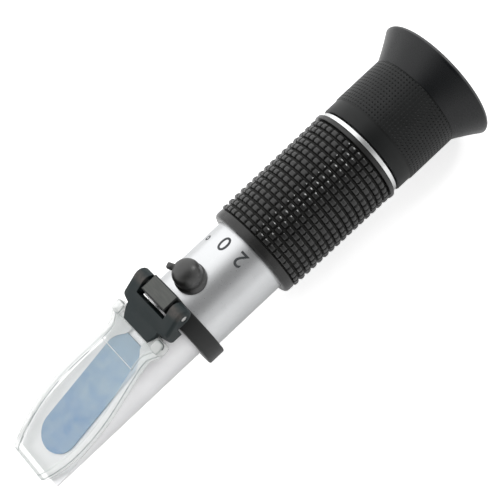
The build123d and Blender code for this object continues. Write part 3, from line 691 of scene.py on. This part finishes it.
def grip_rings():
    front, rear = grip_low.x, grip_high.x
    first, last = front + front_band, rear - rear_band
    pitch = (last - first) / stud_rows
    around = wave_round(stud_columns, cross_wave)

    def studded_ring(station, along):
        top = stud_top_r + stud_growth * (station - first) / (last - first)
        return [on_tube(station, top - stud_depth * (1 - along * (1 - cross_groove * (1 - across))), angle)
                for angle, across in around]

    rings = plain_rings(around, [
        (front, grip_bore), (front, 13.6 * mm), (front + 0.25 * mm, 14.15 * mm),
        (front + 0.75 * mm, 14.52 * mm), (front + 1.4 * mm, front_band_r),
        (first - 0.25 * mm, front_band_r)])
    for row in range(stud_rows):
        rings += [studded_ring(first + (row + share) * pitch, height) for share, height in stud_wave]
    rings.append(studded_ring(last, 0.0))
    rings += plain_rings(around, [
        (last + 0.25 * mm, 15.25 * mm), (last + 0.5 * mm, rear_band_r), (rear - 0.35 * mm, rear_band_r),
        (rear, 15.05 * mm), (rear, grip_bore)])
    return rings


def matt_rubber():
    material, shader = start_finish("matt_rubber", (0.024, 0.024, 0.023), 0.7, shine=0.3)
    dust = grain(shader, 1.5 * mm)
    shift_colour(shader, dust, (0.018, 0.018, 0.017), (0.032, 0.032, 0.030))
    return material


def on_stud_floor(face):
    between_bands = grip_low.x + front_band - 0.1 * mm < face.center.x < grip_high.x - rear_band
    return between_bands and floor_r[0] < from_axis(face.center) < floor_r[1]


grip = weave("studded_grip", grip_rings(), stud_rubber, "root", 20.0)
second_finish_on(grip, matt_rubber(), on_stud_floor)
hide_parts("rubber_grip")

# %% [markdown]
# The focusing barrel is turned from black aluminium. A smooth band for its front, then a fine
# square knurl that a pair of wheels pressed in, so the marks are small pits between a raised
# grid. A relief in the shader would be lighter, but the pits also break the outline. The same
# weaving does it: a point is deep only where both waves are low. The rings go on through the
# spigot for the eyecup and back through the bore, so the barrel is a closed solid.

# %% Knurled focusing barrel
barrel_low, barrel_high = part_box("focusing_barrel")
knurl_rows = 14
knurl_columns = 84
knurl_depth = 0.34 * mm
knurl_r = 15.2 * mm
barrel_band = 4.7 * mm
barrel_band_r = 14.95 * mm
sleeve_r = 12.75 * mm
spigot_r = 13.4 * mm
spigot_bore = 12.3 * mm
cell_hole_r = 9.75 * mm
inner_wall = (14.0 * mm, 15.5 * mm)
knurl_wave = [(0.0, 0.0), (0.28, 1.0), (0.72, 1.0)]


def barrel_rings():
    front, rear = barrel_low.x, barrel_high.x
    band_end = front + barrel_band
    neck = cup_low.x
    wall_front, wall_rear = front + inner_wall[0], front + inner_wall[1]
    first, last = band_end + 0.35 * mm, neck - 0.45 * mm
    pitch = (last - first) / knurl_rows
    around = wave_round(knurl_columns, knurl_wave)

    def knurled_ring(station, wave_height):
        return [on_tube(station, knurl_r - knurl_depth * (1 - max(wave_height, height)), angle)
                for angle, height in around]

    rings = plain_rings(around, [
        (front, sleeve_r), (front, 14.6 * mm), (front + 0.12 * mm, 14.85 * mm),
        (front + 0.35 * mm, barrel_band_r), (band_end - 0.15 * mm, barrel_band_r),
        (band_end + 0.05 * mm, 15.12 * mm), (band_end + 0.3 * mm, knurl_r)])
    for row in range(knurl_rows):
        rings += [knurled_ring(first + (row + share) * pitch, height) for share, height in knurl_wave]
    rings.append(knurled_ring(last, 0.0))
    rings += plain_rings(around, [
        (last + 0.12 * mm, knurl_r), (neck - 0.15 * mm, 15.1 * mm), (neck, 14.9 * mm),
        (neck, spigot_r), (rear, spigot_r), (rear, spigot_bore), (wall_rear, spigot_bore),
        (wall_rear, cell_hole_r), (wall_front, cell_hole_r), (wall_front, sleeve_r)])
    return rings


barrel = weave("knurled_barrel", barrel_rings(), barrel_black, "focus_ring")
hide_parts("focusing_barrel")

# %% [markdown]
# The eyecup is a soft bell that flares from the barrel to a rolled lip. A cone would do from afar,
# but the flare starts gently and the lip is a full rounding. We turn it from rings with the true
# wall, the floor round the eye lens and its window, and give the lip its own lighter finish: partly
# the grey that fingers and brows rub into it, partly a painted highlight for the line of light the
# rolled lip catches.

# %% Flared eyecup
cup_columns = 96
cup_neck_r = 15.0 * mm
cup_wall = 1.5 * mm
cup_floor = 3.2 * mm
window_r = 9.5 * mm
seat_r = 13.5 * mm
seat_depth = 1.6 * mm
lip_r = 0.95 * mm
lip_roll = math.radians(112)
lip_steps = 8
flare_steps = 10
lip_highlight_and_wear_r = 18.2 * mm


def cup_rings():
    neck, rim = cup_low.x, cup_high.x
    rim_r = (cup_high.z - cup_low.z) / 2
    flare_end = rim - lip_r
    floor = neck + cup_floor

    def outer_radius(station):
        share = (station - neck) / (flare_end - neck)
        return cup_neck_r + (rim_r - cup_neck_r) * (0.86 * share + 0.14 * share ** 2)

    def inside(station, walls):
        return (station, outer_radius(station) - walls * cup_wall)

    flare = [neck + step / flare_steps * (flare_end - neck) for step in range(1, flare_steps)]
    rolls = [step / lip_steps * lip_roll for step in range(lip_steps + 1)]
    profile = [(neck, cup_neck_r)]
    profile += [(station, outer_radius(station)) for station in flare]
    profile += [(flare_end + lip_r * math.sin(roll), rim_r - lip_r * (1 - math.cos(roll))) for roll in rolls]
    profile += [inside(rim - depth, 1.15) for depth in (1.3 * mm, 2.6 * mm, 4.0 * mm)]
    profile += [(floor + 0.5 * mm, inside(floor, 1.1)[1]), inside(floor, 1.4),
                (floor, window_r + 0.2 * mm), (floor - 0.15 * mm, window_r),
                (neck + seat_depth, window_r), (neck + seat_depth, seat_r), (neck, seat_r)]
    return plain_rings([(column / cup_columns * math.tau, 0) for column in range(cup_columns)], profile)


# Painted highlight with some real wear: the lip is lighter grey for the line of light it catches and the
# rubbing it gets.
def lip_highlight_and_wear():
    material, shader = start_finish("lip_highlight_and_wear", (0.045, 0.046, 0.048), 0.34, shine=0.6)
    highlight_grain = grain(shader, 2.5 * mm)
    shift_colour(shader, highlight_grain, (0.030, 0.031, 0.033), (0.062, 0.063, 0.065))
    shift_gloss(shader, highlight_grain, 0.28, 0.42)
    return material


def on_lip(face):
    return face.center.x > cup_high.x - lip_r and from_axis(face.center) > lip_highlight_and_wear_r


eyecup = weave("flared_eyecup", cup_rings(), cup_rubber, "focus_ring", 50.0)
second_finish_on(eyecup, lip_highlight_and_wear(), on_lip)
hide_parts("eyecup")

# %% [markdown]
# Moulded and milled edges are never sharp. The construction model keeps them sharp to stay
# light, so for the pieces that the camera sees from near by we take the same surface, merge its
# triangles back into flat faces, and round the sharp edges with a bevel. It could be done in the
# shader alone, but a real rounding also catches a line of light on the outline. The two outer
# front corners of the bracket get a larger rounding, and the top of the lug on the collar is
# painted dark grey instead of black, a painted highlight for the light it mirrors from overhead.

# %% Rounded copies of the moulded pieces
edge_angle = 30.0
wing_front = (-28.4 * mm, -28.05 * mm)
wing_side = 8.85 * mm
wing_foot = axis_height + 11.3 * mm
wing_rounding = 0.9 * mm


def rounded_copy(node_name, new_name, radius, material, body):
    """The node's own surface with its sharp edges rounded."""
    shape = bmesh.new()
    shape.from_mesh(nodes[node_name].data)
    bmesh.ops.remove_doubles(shape, verts=shape.verts, dist=0.002 * mm)
    bmesh.ops.dissolve_limit(shape, angle_limit=math.radians(1.0), verts=shape.verts, edges=shape.edges)
    piece = finish_piece(new_name, mesh_from(shape, new_name), material, body, edge_angle)
    soften = piece.modifiers.new("soft_edges", "BEVEL")
    soften.width = radius
    soften.segments = 3
    soften.limit_method = "ANGLE"
    soften.angle_limit = math.radians(edge_angle)
    soften.miter_outer = "MITER_ARC"
    soften.harden_normals = True
    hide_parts(node_name)
    return piece


def round_wings(mesh):
    """Rounds the two outer front corners of the bracket, ahead of the small edge roundings."""
    shape = bmesh.new()
    shape.from_mesh(mesh)

    def on_corner(vert):
        return wing_front[0] < vert.co.x < wing_front[1] and abs(vert.co.y) > wing_side

    corner = [edge for edge in shape.edges if all(on_corner(vert) for vert in edge.verts)
              and max(vert.co.z for vert in edge.verts) > wing_foot]
    bmesh.ops.bevel(shape, geom=corner, offset=wing_rounding, segments=5, affect="EDGES", profile=0.5)
    shape.to_mesh(mesh)
    shape.free()
    print("bracket:", len(corner), "corner edges rounded to", wing_rounding / mm, "mm")


# Painted highlight: the lug's top face gets a lighter grey for the light it mirrors from overhead.
def lug_top_highlight():
    material, shader = start_finish("lug_top_highlight", (0.085, 0.089, 0.083), 0.5)
    highlight_grain = grain(shader, 0.7 * mm, (1, 5, 1))
    shift_colour(shader, highlight_grain, (0.070, 0.074, 0.069), (0.104, 0.109, 0.101))
    shift_gloss(shader, highlight_grain, 0.42, 0.6)
    return material


def on_lug_top(face):
    return face.normal.z > 0.9 and face.center.z > lug_top - 0.1 * mm


bracket = rounded_copy("hinge_bracket", "soft_hinge_bracket", 0.22 * mm,
                       bracket_slate, "plate")
round_wings(bracket.data)
collar = rounded_copy("hinge_collar", "soft_hinge_collar", 0.12 * mm,
                      collar_black, "root")
lug_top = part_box("hinge_collar")[1].z
second_finish_on(collar, lug_top_highlight(), on_lug_top)

# %% [markdown]
# Now the daylight plate itself. A box with a curved outline and a bevel would give its body, but
# not the narrow milky border with a shallow recess inside it. So we weave it from cross sections
# up its slope, each a closed line from the underside round to the top, and give each kind of face
# its own plastic. The part of the underside that stays clear narrows towards the hinge, and the
# recess ends in a small step, which shows as a white line across the prism.

# %% Daylight plate
milky, clear, line, ground, reflection = range(5)
slope = math.radians(15.0)
plate_low, plate_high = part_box("daylight_plate")
plate_thickness = 2.2 * mm
plate_border = 1.9
edge_rounding = 0.22
recess_depth = 0.35
recess_start, recess_end, step_end = 1.95, 39.2, 39.5
clear_half_width = 6.4
neck_narrowing = 3.6
neck_length = 5.3
up_slope = Vector((math.cos(slope), 0, math.sin(slope)))
plate_normal = Vector((-math.sin(slope), 0, math.cos(slope)))
plate_top_corner = Vector((plate_low.x, 0, plate_low.z + plate_thickness * math.cos(slope)))
plate_start = plate_top_corner - plate_normal * plate_thickness
# Distance up the slope and half width there, both in mm
half_widths = [
    (0.0, 6.6), (0.25, 6.95), (0.7, 7.2), (1.9, 7.75), (4.0, 8.6), (7.0, 9.55), (10.0, 10.25),
    (14.0, 10.8), (18.0, 11.02), (22.0, 11.0), (26.0, 10.7), (30.0, 10.15), (34.0, 9.5), (37.0, 9.05),
    (39.15, 8.75), (step_end, 8.7), (40.6, 8.54), (41.5, 8.45), (42.3, 8.43), (43.0, 8.42),
    (43.6, 8.5), (44.2, 8.6), (45.4, 9.3), (46.4, 10.0), (47.2, 10.42)]


def clear_half(reach):
    """Half width of the part of the underside that stays clear."""
    share = min(1.0, max(0.0, (reach - step_end) / neck_length))
    return clear_half_width - neck_narrowing * share ** 1.5


def cross_section(reach, half):
    """Closed section of the plate at a distance up the slope, from the underside round to the top."""
    top = plate_thickness / mm
    floor = top - (recess_depth if recess_start < reach < recess_end else 0.0)
    inner = half - plate_border
    heights = [(clear_half(reach), 0), (half - edge_rounding, 0), (half - 0.06, 0.06), (half, edge_rounding),
               (half, top - edge_rounding), (half - 0.07, top - 0.07), (half - edge_rounding, top),
               (inner + 0.12, top), (inner, top - 0.05), (inner - 0.12, floor), (inner - 0.5, floor)]
    outline = [(-across, height) for across, height in heights]
    outline += [(across, height) for across, height in reversed(heights)]
    return [plate_start + up_slope * reach * mm + plate_normal * height * mm + Vector((0, across * mm, 0))
            for across, height in outline]


def plate_finish(face):
    """Which plastic a face gets, by its height over the underside and its distance up the slope."""
    middle = face.calc_center_median()
    height = middle.dot(plate_normal) - plate_start.dot(plate_normal)
    reach = (middle - plate_start).dot(up_slope)
    sides = [vert.co.y for vert in face.verts]
    flat = abs(face.normal.dot(plate_normal)) > 0.97
    quad = len(sides) == 4
    spans_middle = quad and max(sides) > 0 > min(sides)
    near_skin = min(height, plate_thickness - height) < 0.2 * mm
    underside = flat and height < 0.1 * mm
    on_step = spans_middle and not flat and abs(reach / mm - 39.33) < 0.2
    if on_step or (underside and not spans_middle and reach > step_end * mm):
        return ground
    if underside or (flat and spans_middle and reach > 1.9 * mm):
        return clear
    if quad and near_skin and not spans_middle and not flat:
        return line
    if not quad and reach < 1 * mm:
        return line
    return milky


def close_ends(shape, rows):
    """A flat face over the first and the last ring."""
    shape.faces.new(rows[0])
    shape.faces.new(rows[-1])


def start_plate():
    shape = bmesh.new()
    rows, _ = join_rings(shape, [cross_section(reach, half) for reach, half in half_widths])
    close_ends(shape, rows)
    merge_and_turn(shape)
    for face in shape.faces:
        face.material_index = plate_finish(face)
    print("plate body has", len(shape.faces), "faces")
    return shape


plate_shape = start_plate()

# %% [markdown]
# Two soft ears stand at the plate's rear corners, and a plain tail runs under the hinge bracket.
# The ears could be cylinders, but theirs is a square with full corners. A swell that pushes a
# circle out at its diagonals draws it, and the ring shrinks towards the top. The ears' sides that
# face the black bracket mirror it, so they get the dark plastic.

# %% Ears and tail of the plate
ear_reach = 48.8 * mm
ear_side = 8.72 * mm
ear_half_length = 1.8
ear_half_width = 1.72
ear_steps = 32
# Height over the underside and how far the ear shrinks there, both in mm
ear_profile = [(0.0, 0.12), (0.08, 0.03), (0.3, 0.0), (2.6, 0.0), (3.1, 0.08), (3.35, 0.28), (3.48, 0.62)]
ear_line_walls = (1, 4)
ear_mirror_wall = 3
tail_half_widths = [(47.2, 10.3), (50.4, 7.4), (50.6, 7.3)]


def swollen_ring(middle, one_way, other_way, steps, swell):
    """Points round a middle, between two directions, pushed out at each turn by the swell."""
    turns = [step / steps * math.tau for step in range(steps)]
    return [middle + (one_way * math.cos(turn) + other_way * math.sin(turn)) * swell(turn) for turn in turns]


def square_swell(turn):
    """How far a circle is pushed out at a turn to become a square with full corners."""
    return (abs(math.cos(turn)) ** 4 + abs(math.sin(turn)) ** 4) ** -0.25


def add_ear(shape, side):
    """One soft stop; side is 1 or -1."""
    foot = plate_start + up_slope * ear_reach + Vector((0, side * ear_side, 0))
    rings = [swollen_ring(foot + plate_normal * height * mm, up_slope * (ear_half_length - shrink) * mm,
                          Vector((0, (ear_half_width - shrink) * mm, 0)), ear_steps, square_swell)
             for height, shrink in ear_profile]
    rows, walls = join_rings(shape, rings)
    close_ends(shape, rows)
    for wall in ear_line_walls:
        for face in walls[wall]:
            face.material_index = line
    for i, face in enumerate(walls[ear_mirror_wall]):
        if math.cos((i + 0.5) / ear_steps * math.tau - side * 0.35) > 0.55:
            face.material_index = reflection


def add_tail(shape):
    """The plate's plain rear end between the ears, under the bracket's tongue."""
    to_top = plate_normal * plate_thickness
    rings = []
    for reach, half in tail_half_widths:
        middle = plate_start + up_slope * reach * mm
        to_side = Vector((0, half * mm, 0))
        one_side, other_side = middle - to_side, middle + to_side
        rings.append([one_side, one_side + to_top, other_side + to_top, other_side])
    rows, _ = join_rings(shape, rings)
    close_ends(shape, rows)


for ear in (1, -1):
    add_ear(plate_shape, ear)
add_tail(plate_shape)
bmesh.ops.recalc_face_normals(plate_shape, faces=plate_shape.faces)
plate = finish_piece("clear_daylight_plate", mesh_from(plate_shape, "clear_daylight_plate"), milky_border,
                     "plate", 40.0)
for plastic in (clear_middle, grey_line, ground_underside, ear_reflection):
    plate.data.materials.append(plastic)
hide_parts("daylight_plate")
print("woven plate spans", [round(size / mm, 2) for size in plate.dimensions], "mm, construction plate",
      [round(size / mm, 2) for size in plate_high - plate_low], "mm")

# %% [markdown]
# A rubber cap covers the calibration screw. It is a small bell whose skirt follows the tube, with
# a crease under the dome and a short tab to pull it off. A sphere on a cylinder would miss the
# crease and the saddle, so we turn it from rings once more, this time round an upright axis, and
# the lowest rings dip where the tube falls away.

# %% Rubber cap with its pull tab
cap_low, cap_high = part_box("calibration_cap")
screw_low, screw_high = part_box("calibration_screw")
cap_x = (screw_low.x + screw_high.x) / 2
tube_r = 12.15 * mm
cap_steps = 48
skirt_r = 4.5 * mm
skirt_gap = 0.2 * mm
hollow_r = 3.3 * mm
hollow_top = 5.9 * mm
dome_r = 4.1 * mm
dome_foot = 4.2 * mm
dome_height = 3.3 * mm
dome_steps = 11
# Radius and height over the tube, both in mm, from the skirt over the crease to the dome's foot
crease_profile = [(4.52, 1.2), (4.46, 1.62), (4.22, 1.86), (4.08, 1.98), (4.12, 2.2), (4.1, 4.2)]
tab_turn = math.radians(113.0)
tab_height = 5.0 * mm
tab_steps = 24
# Distance from the cap's axis and half width, both in mm
tab_profile = [(3.2, 0.95), (5.0, 0.95), (5.40, 0.93), (5.60, 0.82), (5.70, 0.6), (5.72, 0.0)]


def cap_rings():
    turns = [step / cap_steps * math.tau for step in range(cap_steps)]
    tube_top = axis_height + tube_r

    def ring(radius, height_at):
        circle = [(radius * math.cos(turn), radius * math.sin(turn)) for turn in turns]
        return [(cap_x + x, y, height_at(y)) for x, y in circle]

    def level_ring(radius, height):
        return ring(radius, lambda y: tube_top + height)

    def saddle_ring(radius):
        return ring(radius, lambda y: axis_height + math.sqrt((tube_r + skirt_gap) ** 2 - y ** 2))

    lifts = [step / dome_steps * math.pi / 2 for step in range(1, dome_steps + 1)]
    rings = [saddle_ring(hollow_r), saddle_ring(skirt_r)]
    rings += [level_ring(radius * mm, height * mm) for radius, height in crease_profile]
    rings += [level_ring(dome_r * math.cos(lift), dome_foot + dome_height * math.sin(lift)) for lift in lifts]
    rings += [level_ring(0, hollow_top), level_ring(hollow_r, hollow_top)]
    return rings


def tab_swell(turn):
    """A weaker push at the diagonals, for the tab's flattened sides."""
    return max(abs(math.cos(turn)), abs(math.sin(turn))) ** -0.45


def add_tab(mesh):
    """A short stub with a soft end, from inside the dome outwards."""
    shape = bmesh.new()
    shape.from_mesh(mesh)
    out = Vector((math.cos(tab_turn), math.sin(tab_turn), 0))
    to_side = Vector((-math.sin(tab_turn), math.cos(tab_turn), 0))
    start = Vector((cap_x, 0, axis_height + tube_r + tab_height))
    rings = [swollen_ring(start + out * reach * mm, to_side * half * mm, Vector((0, 0, half * mm)),
                          tab_steps, tab_swell) for reach, half in tab_profile]
    rows, _ = join_rings(shape, rings)
    shape.faces.new(rows[0])
    merge_and_turn(shape)
    for face in shape.faces:
        face.smooth = True
    shape.to_mesh(mesh)
    shape.free()


cap = weave("domed_cap", cap_rings(), soft_rubber, "calibration_cap", 50.0)
add_tab(cap.data)
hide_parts("calibration_cap")
print("cap is", round((cap_high.z - cap_low.z) / mm, 2), "mm high and stands",
      round((cap_high.z - axis_height - tube_r) / mm, 2), "mm over the tube")

# %% [markdown]
# A short mark is printed on the bare tube in dark ink: the temperature at which the scale reads
# true. It could be a picture on the tube, but shapes stay crisp from near by. The glyphs start as
# flat text, each is cut into small triangles, and then every point is wrapped round the tube. The
# ink has a little thickness, so that it doesn't flicker in the metal.

# %% Printed mark
mark_station = 0.7 * mm
mark_height = 4.4 * mm
capital_share = 0.7
stroke_growth = 0.05 * mm
ink_top = 0.03 * mm
ink_root = 0.05 * mm
longest_edge = 0.5 * mm
mark_places = [("2", 116.0), ("0", 85.0), ("°", 52.0)]


def printed_ink():
    material, shader = start_finish("printed_ink", (0.045, 0.05, 0.055), 0.5)
    wear = grain(shader, 0.6 * mm)
    shift_colour(shader, wear, (0.035, 0.04, 0.045), (0.07, 0.075, 0.08))
    return material


def flat_glyph(text):
    """A glyph as a flat mesh."""
    curve = bpy.data.curves.new("glyph", "FONT")
    curve.body = text
    curve.size = mark_height / capital_share
    curve.offset = stroke_growth
    curve.align_x = "CENTER"
    holder = add_to_scene("glyph", curve)
    settled = holder.evaluated_get(bpy.context.evaluated_depsgraph_get())
    mesh = bpy.data.meshes.new_from_object(settled)
    bpy.data.objects.remove(holder)
    return mesh


def wrapped_glyph(text, angle):
    """The glyph in small triangles with the ink's thickness, wrapped round the tube."""
    glyph = bmesh.new()
    glyph.from_mesh(flat_glyph(text))
    for _ in range(4):
        long_edges = [edge for edge in glyph.edges if edge.calc_length() > longest_edge]
        bmesh.ops.subdivide_edges(glyph, edges=long_edges, cuts=1)
        bmesh.ops.triangulate(glyph, faces=glyph.faces)
    grown = bmesh.ops.extrude_face_region(glyph, geom=glyph.faces[:])
    top = {item for item in grown["geom"] if isinstance(item, bmesh.types.BMVert)}
    for vert in glyph.verts:
        radius = tube_r + (ink_top if vert in top else -ink_root)
        turn = math.radians(angle) - vert.co.x / tube_r
        vert.co = on_tube(mark_station + mark_height / 2 - vert.co.y, radius, turn)
    bmesh.ops.recalc_face_normals(glyph, faces=glyph.faces)
    return mesh_from(glyph, "glyph_part")


def make_mark():
    shape = bmesh.new()
    for text, angle in mark_places:
        shape.from_mesh(wrapped_glyph(text, angle))
    finish_piece("printed_mark", mesh_from(shape, "printed_mark"), printed_ink(), "root")


make_mark()

# %% [markdown]
# The pieces that we didn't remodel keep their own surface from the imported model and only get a
# finish. Each could be named one by one, but the record already says which material each piece is
# made of, so a table from those materials to our finishes serves them all. Two pieces then differ
# from their material: the nose, and the bright ring that the rear fitting shows behind the grip.

# %% Give each piece of the frame its finish
finishes = {
    "satin_metal": tube_silver,
    "prism_glass": prism_blue,
    "lens_glass": lens_clear,
    "clear_acrylic": clear_middle,
    "slate_plastic": bracket_slate,
    "black_metal": collar_black,
    "barrel_black": barrel_black,
    "grip_rubber": stud_rubber,
    "black_rubber": soft_rubber,
    "eyecup_rubber": cup_rubber,
    "brass": screw_brass,
    "steel": screw_steel,
}
ring_inner_r = 13 * mm


def on_bright_ring(face):
    return face.center.x > grip_high.x - 0.1 * mm and from_axis(face.center) > ring_inner_r


for part in frame["record"]["subparts"]:
    node = nodes[part["node"]]
    node.data.materials.clear()
    node.data.materials.append(finishes[part["material_slot"]])
nodes["nose_housing"].data.materials[0] = nose_silver
second_finish_on(nodes["rear_fitting"], ring_silver, on_bright_ring)
